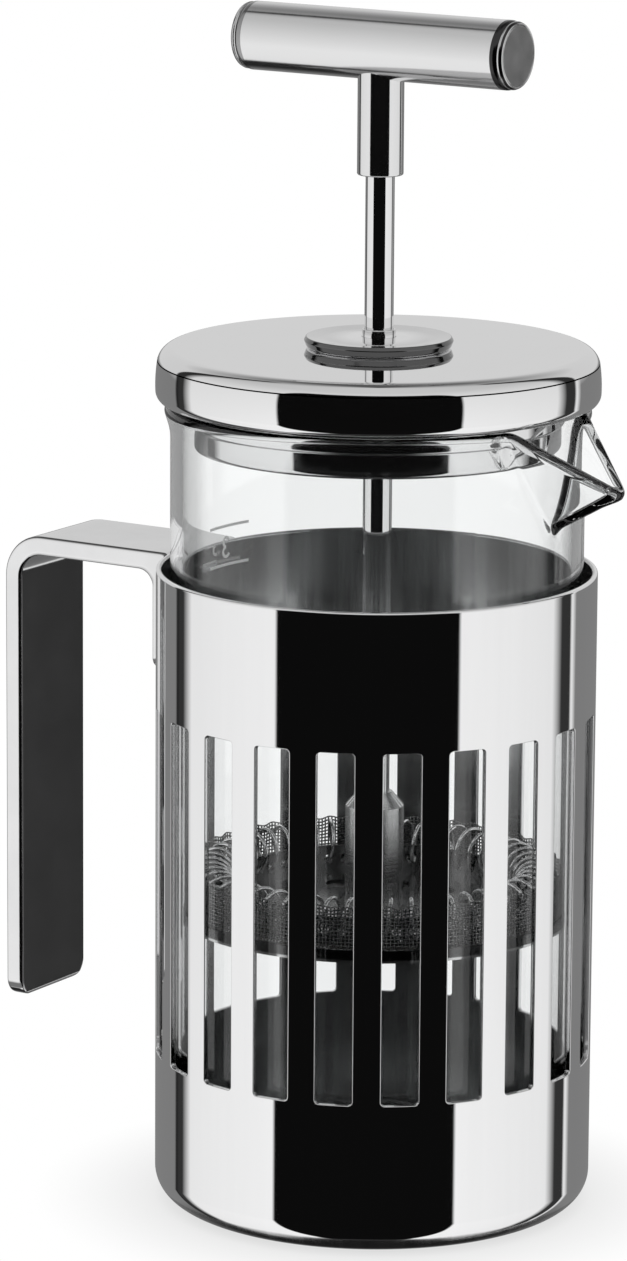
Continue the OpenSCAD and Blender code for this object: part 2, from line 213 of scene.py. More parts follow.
class Finish:
    # Starts a node tree for a material or for the world around the object.
    def __init__(self, name, world=False):
        self.owner = bpy.data.worlds.new(name) if world else bpy.data.materials.new(name)
        self.owner.use_nodes = True
        self.tree = self.owner.node_tree
        self.tree.nodes.clear()

    def node(self, kind, settings=None, inputs=None, out=0):
        node = self.tree.nodes.new(kind)
        for key, value in (settings or {}).items():
            if key == "stops":
                ramp = node.color_ramp
                while len(ramp.elements) < len(value):
                    ramp.elements.new(1)
                for element, (place, grey) in zip(ramp.elements, value):
                    element.position, element.color = place, (grey, grey, grey, 1)
            else:
                setattr(node, key, value)
        for key, value in (inputs or {}).items():
            socket = node.inputs[key]
            if isinstance(value, Socket):
                self.tree.links.new(value.output, socket)
            else:
                socket.default_value = value
        return Socket(self.tree, node.outputs[out]) if len(node.outputs) else None

    def objectPlace(self):
        # Object coordinates as a vector and as x, y, z, in metres.
        place = self.node("ShaderNodeTexCoord", out="Object")
        return place, *self.parts(place)

    def parts(self, vector):
        split = self.node("ShaderNodeSeparateXYZ", inputs={0: vector})
        return [Socket(self.tree, output) for output in split.output.node.outputs]

    def vector(self, x, y, z):
        return self.node("ShaderNodeCombineXYZ", inputs={0: x, 1: y, 2: z})

    def noise(self, place, scale, detail=3, roughness=0.5):
        return self.node("ShaderNodeTexNoise", {"noise_dimensions": "3D"},
                         {"Vector": place, "Scale": scale, "Detail": detail, "Roughness": roughness})

    def tint(self, amount, dark, light):
        # A colour between dark and light.
        return self.node("ShaderNodeMix", {"data_type": "RGBA"},
                         {0: amount, 6: (*dark, 1), 7: (*light, 1)}, out=2)

    def bump(self, height, distance, strength=1.0):
        return self.node("ShaderNodeBump",
                         inputs={"Strength": strength, "Distance": distance, "Height": height})

    def surface(self, inputs):
        shader = self.node("ShaderNodeBsdfPrincipled", inputs=inputs)
        self.node("ShaderNodeOutputMaterial", inputs={"Surface": shader})
        return self.owner


def polishedSteel(name, tone=0.86, gloss=0.03, haze=0.03, grain=(1, 1, 0.04), grainBump=0.15):
    # Mirror polish with the faint hairlines and smears that a buffed sheet keeps.
    finish = Finish(name)
    place = finish.objectPlace()[0]
    hairline = finish.noise(finish.node("ShaderNodeVectorMath", {"operation": "MULTIPLY"},
                                        {0: place, 1: grain}), 9000, 2)
    smear = finish.noise(place, 60, 4, 0.6)
    shade = hairline * 0.3 + smear * 0.7
    return finish.surface({
        "Base Color": finish.tint(shade, (tone * 0.95,) * 3, (tone, tone, tone * 1.005)),
        "Metallic": 1.0,
        "Roughness": gloss + haze * smear * hairline,
        "Normal": finish.bump(hairline, grainBump * 0.001 * mm)})


def cageSteel(size):
    # Mirror polish outside. The inside keeps the satin, drawn finish, with streaks up the wall, and its
    # colour is also darkened as painted shade.
    finish = Finish("cagePolishedSteel")
    place, x, y, z = finish.objectPlace()
    radius = (x * x + y * y).math("SQRT")
    inside = (1 - radius.above((size["radius"] - size["sheet"] * 0.6) * mm, 0.2 * mm)) * z.above(
        size["sheet"] * 0.5 * mm, 0.2 * mm)
    around = y.math("ARCTAN2", x)
    streak = finish.noise(finish.vector(around * 3, 0, z * 3), 5, 3, 0.55)
    hairline = finish.noise(finish.vector(around * 300, 0, z * 200), 1, 2)
    smear = finish.noise(place, 60, 4, 0.6)
    # painted shade: the inside's colour is lowered from 0.87 to 0.5, and its streaks vary it as the drawn
    # finish does
    tone = inside.mixed(0.87, 0.5) * (inside.mixed(0.04, 0.9) * (streak - 0.5) + 1)
    colour = finish.tint(tone, (0, 0, 0), (1, 1, 1.004))
    return finish.surface({
        "Base Color": colour, "Metallic": 1.0,
        "Roughness": inside.mixed(0.025, 0.2) + (smear * hairline) * 0.03 + inside * (streak - 0.5) * 0.12,
        "Normal": finish.bump(hairline * inside.mixed(0.1, 0.3) + streak * inside * 4, 0.002 * mm)})


def bossSteel(rim):
    # Polished saucer with a painted dark reflection line round its rim, and a painted reflection that darkens
    # the dish towards the rim.
    finish = Finish("bossPolishedSteel")
    place, x, y, _ = finish.objectPlace()
    radius = (x * x + y * y).math("SQRT")
    smear = finish.noise(place, 120, 4, 0.6)
    # painted reflection: the colour is darkened in a thin line at the rim and over the outer part of the dish
    line = radius.above((rim - 0.45) * mm, 0.1 * mm)
    dish = radius.above((rim - 6) * mm, 3 * mm)
    tone = (dish.mixed(0.9, 0.7) + 0.1 * (smear - 0.5)) * (1 - 0.8 * line)
    return finish.surface({
        "Base Color": finish.tint(tone, (0, 0, 0), (1, 1, 1.004)), "Metallic": 1.0,
        "Roughness": 0.03 + 0.05 * smear, "Normal": finish.bump(smear, 0.01 * mm)})


def strapSteel(half):
    # Buffed strap: clouded flats, and a painted dark reflection along the rounded edges.
    finish = Finish("strapPolishedSteel")
    place, x, y, z = finish.objectPlace()
    cloud = finish.noise(place, 90, 4, 0.6)
    hairline = finish.noise(finish.vector(x, y, z * 0.05), 9000, 2)
    # painted reflection: the colour along the rounded edges is darkened to stand in for the dark they reflect
    edge = abs(y).within((half - 0.5) * mm, (half - 0.06) * mm, 0.08 * mm)
    tone = (0.8 + 0.16 * (cloud - 0.5)) * (1 - 0.8 * edge)
    return finish.surface({
        "Base Color": finish.tint(tone, (0, 0, 0), (1, 1, 1.004)), "Metallic": 1.0,
        "Roughness": 0.02 + 0.05 * cloud + 0.03 * hairline,
        "Normal": finish.bump(hairline, 0.0003 * mm)})


def turnedSteel(name, tone, gloss, rings=2600, depth=0.002):
    # Satin metal with fine turning marks at every radius and height.
    finish = Finish(name)
    place, x, y, z = finish.objectPlace()
    radius = (x * x + y * y).math("SQRT")
    mark = finish.noise(finish.vector(radius * rings, 0, z * rings), 1, 3, 0.7)
    smear = finish.noise(place, 250, 3)
    return finish.surface({
        "Base Color": finish.tint(mark * 0.6 + smear * 0.4, (tone * 0.75,) * 3, (tone,) * 3),
        "Metallic": 1.0,
        "Roughness": gloss + 0.15 * (mark - 0.5) + 0.1 * (smear - 0.5),
        "Normal": finish.bump(mark, depth * mm)})


def capSteel(name, base, start, paintedDarkStrength):
    # End faces of the crossbar, turned about the bar's own axis. Dark bands painted into the colour stand for
    # shade in the groove and a dark reflection on the rim.
    finish = Finish(name)
    place, x, y, z = finish.objectPlace()
    radius = (y * y + (z - base * mm) * (z - base * mm)).math("SQRT")
    mark = finish.noise(finish.vector(radius * 5000, 0, 0), 1, 3, 0.7)
    smear = finish.noise(place, 300, 3)
    ring = abs(x)
    # painted shade in the groove behind the bead, and a painted dark reflection in a thin band on the rounded
    # edge; the rear cap gets less of both
    groove = ring.within((start + 0.02) * mm, (start + 1.3) * mm, 0.06 * mm)
    groove = groove + ring.within((start + 1.75) * mm, (start + 2.14) * mm, 0.05 * mm) * radius.above(
        5.1 * mm, 0.05 * mm)
    tone = (0.66 + 0.1 * (mark * 0.5 + smear * 0.5)) * (1 - paintedDarkStrength * groove)
    return finish.surface({
        "Base Color": finish.tint(tone, (0, 0, 0), (1, 1, 1)),
        "Metallic": 1.0, "Roughness": 0.16 + 0.08 * smear,
        "Normal": finish.bump(mark, 0.002 * mm)})


def plateSteel(base):
    # Pressed plate: bright along its lower edge; over the rest of the rim the colour is painted dark as
    # shade.
    finish = Finish("lowerPlateSteel")
    place, *_, z = finish.objectPlace()
    patch = finish.noise(place, 300, 3)
    # painted shade: above a strip along the lower edge, the rim's colour is darkened almost to black
    clearOfPaintedShade = 1 - z.above((base + 0.45) * mm, 0.25 * mm)
    return finish.surface({
        "Base Color": finish.tint(clearOfPaintedShade * 0.85 + patch * 0.15, (0.04,) * 3, (0.75,) * 3),
        "Metallic": 1.0, "Roughness": 0.12 + 0.1 * patch,
        "Normal": finish.bump(patch, 0.01 * mm)})


def clearGlass():
    # Clear glass with the faint waviness of a blown wall.
    finish = Finish("clearBlownGlass")
    _, x, y, z = finish.objectPlace()
    wave = finish.noise(finish.vector(x * 40, y * 40, z * 8), 1, 2)
    return finish.surface({
        "Base Color": finish.tint(wave, (0.975, 0.985, 0.985), (0.99, 0.995, 0.995)),
        "Transmission Weight": 1.0, "IOR": 1.47, "Roughness": 0.0,
        "Normal": finish.bump(wave, 0.02 * mm)})


def wireCloth(pitch, wire):
    # A square weave on the sheet's own flat coordinates, in millimetres: two sets of wires that cross over
    # and under, with open holes between them.
    finish = Finish("wovenWireCloth")
    sheet = finish.node("ShaderNodeUVMap", {"uv_map": "flatSheet"})
    along, across, _ = finish.parts(sheet)
    warp, weft = [(abs((way / pitch).math("FRACT") - 0.5) * (2 * pitch / wire)).clamped()
                  for way in (along, across)]
    over = ((along / pitch * math.pi).math("SINE") * (across / pitch * math.pi).math("SINE")) * 0.25
    height = (1 - warp * warp + over).math("MAXIMUM", 1 - weft * weft - over)
    solid = 1 - (warp * weft).above(0.93, 0.08)
    place = finish.objectPlace()[0]
    patch = finish.noise(place, 400, 3)
    # painted shade: the colour darkens where the wires dip under each other, and only their crests stay light
    return finish.surface({
        "Base Color": finish.tint(height * height * (0.6 + patch * 0.4), (0.01,) * 3, (0.5,) * 3),
        "Metallic": 1.0, "Roughness": 0.24 + 0.1 * patch, "Alpha": solid,
        "Normal": finish.bump(height, 0.08 * mm)})


def enamelWhite():
    # Printed white enamel, a little uneven and thin at its edges, with a faint painted glow of its own.
    finish = Finish("markEnamel")
    place = finish.objectPlace()[0]
    speck = finish.noise(place, 4000, 2)
    return finish.surface({
        "Base Color": finish.tint(speck, (0.75,) * 3, (0.88,) * 3), "Roughness": 0.45 + 0.1 * speck,
        # painted glow: the print gives off light though it is no lamp
        "Emission Color": finish.tint(speck, (0.9,) * 3, (1, 1, 1)), "Emission Strength": 0.22,
        "Normal": finish.bump(speck, 0.002 * mm)})


cageHigh = nodeSize("cage")[1]
cage = {"radius": cageHigh[0], "height": cageHigh[2], "sheet": 1.0, "corner": 5.2, "rimRound": 0.45,
        "slots": 21, "slotWidth": 6.4, "slotLow": 26.2, "slotHigh": 86.3, "slotCorner": 0.7,
        "edgeRound": 0.16, "cellMargin": 3.0}


def slotCell():
    # One pitch of the slotted band, unrolled: across u and up v. The slot's outline is offset and mixed with
    # the pitch's own rectangle, and the layers run from the outside in through the slot's rounded edge.
    half, pitch = cage["slotWidth"] / 2, fullTurn * cage["radius"] / cage["slots"]
    low, high, corner = cage["slotLow"], cage["slotHigh"], cage["slotCorner"]
    middle = (low + high) / 2
    arc = np.linspace(0, math.pi / 2, 9)
    sideV = np.linspace(high - corner, low + corner, 14)[1:-1]
    topU = np.linspace(half - corner, corner - half, 8)[1:-1]
    quarter = np.stack([np.cos(arc), np.sin(arc)], -1)
    right = np.array([half - corner, high - corner])
    rings, normals = [], []

    def add(points, normal):
        rings.append(points)
        normals.append(np.broadcast_to(normal, points.shape))

    add(right + corner * quarter, quarter)
    add(np.stack([topU, np.full(len(topU), high)], -1), np.array([0.0, 1.0]))
    mirrored = quarter[::-1] * [-1, 1]
    add(right * [-1, 1] + corner * mirrored, mirrored)
    add(np.stack([np.full(len(sideV), -half), sideV], -1), np.array([-1.0, 0.0]))
    edge, normal = np.concatenate(rings), np.concatenate(normals)
    edge = np.concatenate([edge, [0, 2 * middle] - edge])
    normal = np.concatenate([normal, -normal])
    # the pitch's rectangle: each point keeps its share of the way between the middles of the corners
    reach = corner * (1 - math.sqrt(0.5))
    share = (edge - [0, middle]) / [half - reach, (high - low) / 2 - reach]
    onTop = np.abs(share[:, 1]) >= 1 - 1e-9
    frameHalf = np.array([pitch / 2, (high - low) / 2 + cage["cellMargin"]])
    clipped = np.clip(share, -1, 1)
    clipped[onTop, 1] = np.sign(share[onTop, 1])
    clipped[~onTop, 0] = np.sign(share[~onTop, 0])
    rectangle = clipped * frameHalf + [0, middle]
    return edge, normal, rectangle


def makeCage():
    size, edgeRound = cage, cage["edgeRound"]
    outer, inner = size["radius"], size["radius"] - size["sheet"]
    edge, away, rectangle = slotCell()
    turn = np.linspace(0, math.pi / 2, 6)
    mix = np.concatenate([np.linspace(1, 0, 6) ** 1.5, np.zeros(len(turn) - 1)])
    offset = np.concatenate([np.full(6, edgeRound), edgeRound * (1 - np.sin(turn[1:]))])
    radius = np.concatenate([np.full(6, outer), outer - edgeRound + edgeRound * np.cos(turn[1:])])
    tilt = np.concatenate([np.zeros(6), turn[1:]])
    mix, offset = np.concatenate([mix, mix[::-1]]), np.concatenate([offset, offset[::-1]])
    radius = np.concatenate([radius, outer + inner - radius[::-1]])
    tilt = np.concatenate([tilt, math.pi - tilt[::-1]])
    mix, offset = mix[:, None, None], offset[:, None, None]
    flat = (edge[None] + away[None] * offset) * (1 - mix) + rectangle[None] * mix
    slots = np.arange(size["slots"]) / size["slots"] * fullTurn
    angle = flat[None, ..., 0] / outer + slots[:, None, None]
    radial = np.stack([np.cos(angle), np.sin(angle), np.zeros_like(angle)], -1)
    tangent = np.stack([-np.sin(angle), np.cos(angle), np.zeros_like(angle)], -1)
    up = np.array([0, 0, 1.0])
    points = radial * radius[None, :, None, None]
    points[..., 2] = flat[None, ..., 1]
    inwards = -(away[None, None, :, :1] * tangent + away[None, None, :, 1:] * up)
    slant = tilt[None, :, None, None]
    normals = np.cos(slant) * radial + np.sin(slant) * inwards
    layers, count = flat.shape[:2]
    quads = gridQuads(layers, count, False, True)
    cells = (quads[None] + (np.arange(size["slots"]) * layers * count)[:, None, None]).reshape(-1, 4)
    allPoints, allNormals, allQuads = [points.reshape(-1, 3)], [normals.reshape(-1, 3)], [cells]

    # the plain bands over and under the slots, on the same angles as the cells' own edges
    onTop = np.isclose(rectangle[:, 1], rectangle[:, 1].max())
    topAngles = np.unique(np.round(rectangle[onTop, 0] / outer, 9))
    bandAngle = (topAngles[None, :-1] + slots[:, None]).ravel()
    lowZ = size["slotLow"] - size["cellMargin"]
    highZ = size["slotHigh"] + size["cellMargin"]
    rim = size["rimRound"]
    head, headNormal = outline([(outer, highZ, 0), (outer, size["height"], rim), (inner, size["height"], rim),
                                (inner, highZ, 0)], closed=False)
    foot, footNormal = outline([(inner, lowZ, 0), (inner, size["sheet"], size["corner"] - size["sheet"]),
                                (0, size["sheet"], 0)], closed=False, arcSteps=14)
    base, baseNormal = outline([(0, 0, 0), (outer, 0, size["corner"]), (outer, lowZ, 0)],
                               closed=False, arcSteps=18)
    start = len(allPoints[0])
    for profile, profileNormal in ((head, headNormal), (foot, footNormal), (base, baseNormal)):
        band, bandNormal = carryRound(profile, profileNormal, bandAngle)
        allQuads.append(gridQuads(len(profile), len(bandAngle), False, True) + start)
        allPoints.append(band.reshape(-1, 3))
        allNormals.append(bandNormal.reshape(-1, 3))
        start += len(profile) * len(bandAngle)
    addPiece("cageShell", np.concatenate(allPoints) * mm, np.concatenate(allQuads), cageSteel(size), "stand",
             ["cage"], np.concatenate(allNormals))


makeCage()
print("cage made")


strapLow, strapHigh = nodeSize("handle_strap")
strap = {"width": strapHigh[1] - strapLow[1], "reach": -strapLow[0], "top": strapHigh[2], "foot": strapLow[2],
         "thick": 3.3, "flangeThick": 1.8, "flangeHeight": 20.7, "outerBend": 7.5, "fillet": 3.0,
         "rootCorner": 0.7, "endCorner": 3.0, "endBulge": 0.5, "crownIn": 0.08, "crownUp": 0.7,
         "innerEdge": 0.3, "outerEdge": 0.5, "endEdge": 0.8, "beside": 0.25}


def besideArcs(points, normals, gap):
    # Adds a point just inside both ends of each straight, so that flat faces stay flat in the reflections.
    nextPoint, nextNormal = np.roll(points, -1, 0), np.roll(normals, -1, 0)
    step = nextPoint - points
    length = np.linalg.norm(step, axis=1)
    straight = (np.abs(nextNormal - normals).sum(1) < 1e-6) & (length > 3 * gap)
    place = np.flatnonzero(straight) + 1
    way = step[straight] / length[straight][:, None] * gap
    extra = np.stack([points[straight] + way, nextPoint[straight] - way], 1).reshape(-1, 2)
    return np.insert(points, np.repeat(place, 2), extra, 0)


def makeStrap():
    # The strap's cross-section carried along it: up the flange, out along the arm and down the grip. Each
    # place lies between the strap's outer line (cage side, top, outside of the grip) and its inner line.
    size = strap
    wall, thick = cage["radius"], size["thick"]
    top, foot, reach = size["top"], size["foot"], size["reach"]
    start = top - size["flangeHeight"]
    outer, _ = outline([(wall, start, 0), (wall, top, size["rootCorner"]), (reach, top, size["outerBend"]),
                        (reach, foot, 0)], False, 16)
    innerWall = wall + size["flangeThick"]
    inner, _ = outline([(innerWall, start, 0), (innerWall, top - thick, size["fillet"]),
                        (reach - thick, top - thick, size["outerBend"] - thick), (reach - thick, foot, 0)],
                       False, 16)
    # stations: the arcs' own points, and more along the three straights
    arc = np.arange(17)
    endTurn = 1 - np.cos(np.linspace(0, math.pi / 2, 9))
    endIn = np.unique(np.concatenate([endTurn * size["endEdge"], endTurn * size["endCorner"]]))
    legs = [endIn / (top - size["fillet"] - start), 1 + arc, np.linspace(17, 18, 14)[1:-1], 18 + arc,
            35 - endIn / (top - size["outerBend"] - foot)]
    station = np.unique(np.round(np.concatenate([*legs, np.linspace(0, 1, 12), np.linspace(34, 35, 30)]), 9))
    index = np.arange(len(outer))
    outer = np.stack([np.interp(station, index, outer[:, k]) for k in (0, 1)], -1)
    inner = np.stack([np.interp(station, index, inner[:, k]) for k in (0, 1)], -1)
    toStart, toEnd = outer[:, 1] - start, outer[:, 1] - foot
    toEnd[station < 17.5] = 99
    toStart[station > 1] = 99
    left = np.minimum(toStart, toEnd)

    def roundOff(radius):
        # How far an edge has drawn in at a distance left from the end, for a round of that radius.
        return radius - np.sqrt(radius ** 2 - np.clip(radius - left, 0, radius) ** 2)

    half = size["width"] / 2
    crownIn, crownUp = size["crownIn"], size["crownUp"]
    section, sectionNormal = outline([
        (half - crownIn, thick, size["innerEdge"]), (half, thick - crownUp, 2.0),
        (half, 0, size["outerEdge"]), (-half, 0, size["outerEdge"]),
        (-half, thick - crownUp, 2.0), (-half + crownIn, thick, size["innerEdge"])], True, 6)
    section = besideArcs(section, sectionNormal, size["beside"])
    across = section[None, :, 0] * ((half - roundOff(size["endCorner"])) / half)[:, None]
    edge = roundOff(size["endEdge"])[:, None] / thick
    share = 0.5 + (section[None, :, 1] / thick - 0.5) * (1 - 2 * edge)
    flat = outer[:, None] + (inner - outer)[:, None] * share[..., None]
    outwards, height = flat[..., 0], flat[..., 1]
    # the arm's end is hollowed to the cage, and the flat flange below only touches it along the middle
    near = ease(1 - (outwards - wall) / 2.2) * ease((height - (top - thick - size["fillet"])) / 2)
    outwards = outwards - (wall - np.sqrt(wall ** 2 - across ** 2)) * near
    droop = ease(1 - toEnd[:, None] / 8) * size["endBulge"]
    height = height + droop * (across / half) ** 2
    points = np.stack([-outwards, across, height], -1)
    middle = points.mean(1, keepdims=True)
    ends = [np.broadcast_to(middle[k], points[k].shape) for k in (0, -1)]
    inset = [middle[k] + (points[k] - middle[k]) * 0.96 for k in (0, -1)]
    points = np.stack([ends[0], inset[0], *points, inset[1], ends[1]])
    quads = gridQuads(len(points), points.shape[1], False, True)
    addPiece("handleStrap", points * mm, quads,
             strapSteel(half), "stand", ["handle_strap"])


makeStrap()
print("handle made")


beakerLow, beakerHigh = nodeSize("beaker")
beaker = {"radius": beakerHigh[1] - 1, "foot": beakerLow[2], "rim": beakerHigh[2], "wall": 2.0, "floor": 2.5,
          "corner": 9.0, "flare": 0.75, "bead": 1.25, "flareDepth": 5.0, "lipTip": beakerHigh[0],
          "lipDrop": 10.4, "crease": 119.9, "lipHalf": math.radians(20), "lipStart": 108.0, "smoothing": 14,
          "lipColumns": 120, "wallColumns": 150}


def lipSheet(turn, rows):
    # The middle of the glass from lipStart up to the rim. Off the lip it is the wall, flaring at the rim.
    # On the lip each column climbs the wall to the V of the crease, then runs straight out to the rim's
    # edge, which falls from both sides to the tip. The pull away from the plain wall is then smoothed.
    size = beaker
    wall = size["radius"] - size["wall"] / 2
    top = size["rim"] - size["bead"]
    low = size["lipStart"]
    off = np.minimum(np.abs(turn), fullTurn - np.abs(turn)) / size["lipHalf"]
    on = np.sqrt(np.clip(off, 0, 1) ** 2 + 0.004)
    on = np.clip(on, 0, 1)
    up = np.linspace(0, 1, rows)[:, None]
    plainHeight = low + (top - low) * up
    flare = size["flare"] * np.clip((plainHeight - top) / size["flareDepth"] + 1, 0, 1) ** 2
    swing = np.stack([np.cos(turn), np.sin(turn)], -1)
    heights = np.repeat(plainHeight[..., None], len(turn), 1)
    plain = np.concatenate([(wall + flare)[..., None] * swing, heights], -1)
    # the crease on the wall, and the rim's edge on the lip
    creaseHeight = size["crease"] + (top - size["crease"]) * on ** 1.15
    corner = np.array([math.cos(size["lipHalf"]), math.sin(size["lipHalf"])]) * (wall + size["flare"])
    tip = size["lipTip"] - size["bead"]
    side = np.sign(np.sin(turn))
    edge = np.stack([tip + (corner[0] - tip) * on, corner[1] * on * side,
                     top - size["lipDrop"] * (1 - on)], -1)
    middle = off < 1e-6
    edge[middle, 1] = 0
    crease = np.concatenate([wall * swing, creaseHeight[:, None]], -1)
    climb = creaseHeight - low
    run = np.linalg.norm(edge - crease, axis=1)
    way = up * (climb + run)
    onWall = np.concatenate([np.repeat((wall * swing)[None], rows, 0), (low + way)[..., None]], -1)
    share = np.clip((way - climb) / np.maximum(run, 1e-6), 0, 1)[..., None]
    onLip = crease[None] + (edge - crease)[None] * share
    lip = np.where((way < climb)[..., None], onWall, onLip)
    lip = np.where((off < 1)[None, :, None], lip, plain)
    pull = lip - plain
    for _ in range(size["smoothing"]):
        around = (np.roll(pull, 1, 1) + np.roll(pull, -1, 1)) / 2
        upright = pull.copy()
        upright[1:-1] = (pull[:-2] + pull[2:]) / 2
        pull[1:] = (pull * 0.5 + around * 0.25 + upright * 0.25)[1:]
    return plain + pull


def makeBeaker():
    size = beaker
    # columns close together over the lip and wider round the rest
    lipEdge = size["lipHalf"] * 1.5
    lipTurn = np.linspace(-lipEdge, lipEdge, size["lipColumns"] + 1)
    turn = np.concatenate([lipTurn, np.linspace(lipEdge, fullTurn - lipEdge, size["wallColumns"])[1:-1]])
    turn = np.where(turn > math.pi, turn - fullTurn, turn)
    sheet = lipSheet(turn, 46)
    alongUp, alongRound = np.gradient(sheet, axis=0), (np.roll(sheet, -1, 1) - np.roll(sheet, 1, 1)) / 2
    outwards = np.cross(alongRound, alongUp)
    outwards /= np.linalg.norm(outwards, axis=2)[..., None]
    upwards = alongUp[-1] / np.linalg.norm(alongUp[-1], axis=1)[:, None]
    thicken = ease((np.linspace(0, 1, 46) - 0.86) / 0.14)[:, None, None]
    halfWall = size["wall"] / 2 + (size["bead"] - size["wall"] / 2) * thicken
    tilt = np.linspace(0, math.pi, 15)[1:-1][:, None, None]
    bead = sheet[-1] + size["bead"] * (np.cos(tilt) * outwards[-1] + np.sin(tilt) * upwards)
    beadNormal = np.cos(tilt) * outwards[-1] + np.sin(tilt) * upwards
    outerShell, innerShell = sheet + halfWall * outwards, sheet - halfWall * outwards
    # the plain cup below: floor and foot corner, outside from the centre out, inside back to it
    wall, floor, corner = size["wall"], size["floor"], size["corner"]
    outside, outsideNormal = outline([(0, size["foot"], 0), (size["radius"], size["foot"], corner),
                                      (size["radius"], size["lipStart"] - 1, 0)], False, 20)
    inside, insideNormal = outline([(size["radius"] - wall, size["lipStart"] - 1, 0),
                                    (size["radius"] - wall, size["foot"] + floor, corner - wall),
                                    (0, size["foot"] + floor, 0)], False, 20)
    outsidePoints, outsideNormals = carryRound(outside, outsideNormal, turn)
    insidePoints, insideNormals = carryRound(inside, insideNormal, turn)
    points = np.concatenate([outsidePoints, outerShell, bead, innerShell[::-1], insidePoints])
    normals = np.concatenate([outsideNormals, outwards, beadNormal, -outwards[::-1], insideNormals])
    quads = gridQuads(len(points), len(turn), False, True)
    addPiece("glassBeaker", points * mm, quads, clearGlass(), "beaker", ["beaker"], normals)


makeBeaker()
print("beaker made")


marks = {"lineHigh": 113.0, "lineLow": 106.2, "from": math.radians(163.4), "to": math.radians(182.3),
         "lineWidth": 0.5, "thick": 0.03, "numeralWidth": 0.55, "numeralHeight": 3.4, "numeralFoot": 107.6,
         "numeralAt": math.radians(173.4), "off": 0.02}


def stroke(path, width):
    # A printed stroke: the path (along, up) on the unrolled glass widened to both sides, and wrapped round.
    size = marks
    way = np.gradient(path, axis=0)
    way /= np.linalg.norm(way, axis=1)[:, None]
    aside = np.stack([-way[:, 1], way[:, 0]], -1) * width / 2
    low = beaker["radius"] + size["off"]
    rings = np.stack([path - aside, path + aside, path + aside, path - aside], 1)
    radius = np.array([low, low, low + size["thick"], low + size["thick"]])[None]
    turn = rings[..., 0] / beaker["radius"]
    points = np.stack([radius * np.cos(turn), radius * np.sin(turn), rings[..., 1]], -1)
    ends = [np.broadcast_to(points[k].mean(0), points[k].shape) for k in (0, -1)]
    points = np.stack([ends[0], *points, ends[1]])
    return points.reshape(-1, 3), gridQuads(len(points), 4, False, True)[:, ::-1]


def makeMarks():
    size = marks
    radius = beaker["radius"]
    along = np.linspace(size["from"], size["to"], 40) * radius
    middle, foot, high = size["numeralAt"] * radius, size["numeralFoot"], size["numeralHeight"]
    bowl = high / 4
    # the figure three: two bowls, open to the left
    upper = np.linspace(math.radians(160), math.radians(-80), 22)
    lower = np.linspace(math.radians(80), math.radians(-160), 22)
    figure = np.concatenate([
        np.stack([middle + bowl * 0.92 * np.cos(upper), foot + bowl * 3 + bowl * np.sin(upper)], -1),
        np.stack([middle + bowl * 1.05 * np.cos(lower), foot + bowl + bowl * np.sin(lower)], -1)])
    strokes = [stroke(np.stack([along, np.full(40, level)], -1), size["lineWidth"])
               for level in (size["lineHigh"], size["lineLow"])]
    strokes.append(stroke(figure, size["numeralWidth"]))
    starts = np.cumsum([0] + [len(points) for points, quads in strokes])
    points = np.concatenate([points for points, quads in strokes])
    quads = np.concatenate([quads + start for (points, quads), start in zip(strokes, starts)])
    addPiece("levelMarks", points * mm, quads, enamelWhite(), "beaker")


makeMarks()
print("level marks made")


lid = {"cap": nodeSize("lid_cap"), "boss": nodeSize("lid_boss"), "pan": nodeSize("lid_pan"), "sheet": 0.8,
       "topEdge": 2.8, "lowEdge": 1.8, "lean": 0.75, "sideRound": 26, "foot": 0.12, "curl": 2.5,
       "neckGap": 2.9, "bossEdge": 0.85, "rimDepth": 0.7, "dishIn": 3.5, "dish": 0.45, "panRadius": 31.5,
       "panBore": 4.25, "panSheet": 0.6, "panStep": 0.6, "panNeck": 3.2, "panEdge": 0.45}


def makeLid():
    size, sheet = lid, lid["sheet"]
    radius, low, high = size["cap"][1][0], size["cap"][0][2], size["cap"][1][2]
    curl = radius - size["curl"]
    turned("lidCap", [
        (curl, low, 0), (radius - size["foot"], low, size["lowEdge"]),
        (radius, (low + high) / 2, size["sideRound"]), (radius - size["lean"], high, size["topEdge"]),
        (size["neckGap"], high, 0), (size["neckGap"], high - sheet, 0),
        (radius - sheet, high - sheet, size["topEdge"] - sheet), (radius - sheet, low + sheet,
                                                                 size["lowEdge"] - sheet),
        (curl, low + sheet, 0)],
        polishedSteel("lidPolishedSteel", 0.88, 0.02, 0.03), "lid", ["lid_cap"], around=256,
        arcSteps=12)
    bossRadius, bossLow, bossHigh = size["boss"][1][0], size["boss"][0][2], size["boss"][1][2]
    turned("lidBoss", [
        (size["neckGap"], bossLow, 0), (bossRadius - 0.5, bossLow, size["bossEdge"]),
        (bossRadius, bossHigh - size["rimDepth"], 0.3), (bossRadius - 0.35, bossHigh - 0.05, 0.25),
        (bossRadius - size["dishIn"], bossHigh - size["dish"], 8), (size["neckGap"], bossHigh - 0.1, 0)],
        bossSteel(bossRadius), "lid", ["lid_boss"], around=160, arcSteps=10)
    panLow, panHigh = size["pan"][0][2], size["cap"][0][2] + size["panSheet"]
    # the wall of the pan, from its flange down past the step to its floor and in to the bush
    wide = size["panRadius"]
    narrow, thin, edge = wide - size["panStep"], size["panSheet"], size["panEdge"]
    step, inner = low - size["panNeck"], size["panBore"]
    turned("lidPan", [
        (inner, panLow, 0), (narrow, panLow, 1.0), (narrow, step, 0.3), (wide, step, edge),
        (wide, low, 0.3), (curl, low, 0), (curl, panHigh, 0), (wide - thin, panHigh, 0.5),
        (wide - thin, step + thin, 0.2), (narrow - thin, step + thin, 0.4),
        (narrow - thin, panLow + thin, 0.4), (inner, panLow + thin, 0)],
        polishedSteel("panBrightSteel", 0.82, 0.03, 0.05), "lid", ["lid_pan"], around=224)


makeLid()
print("lid made")


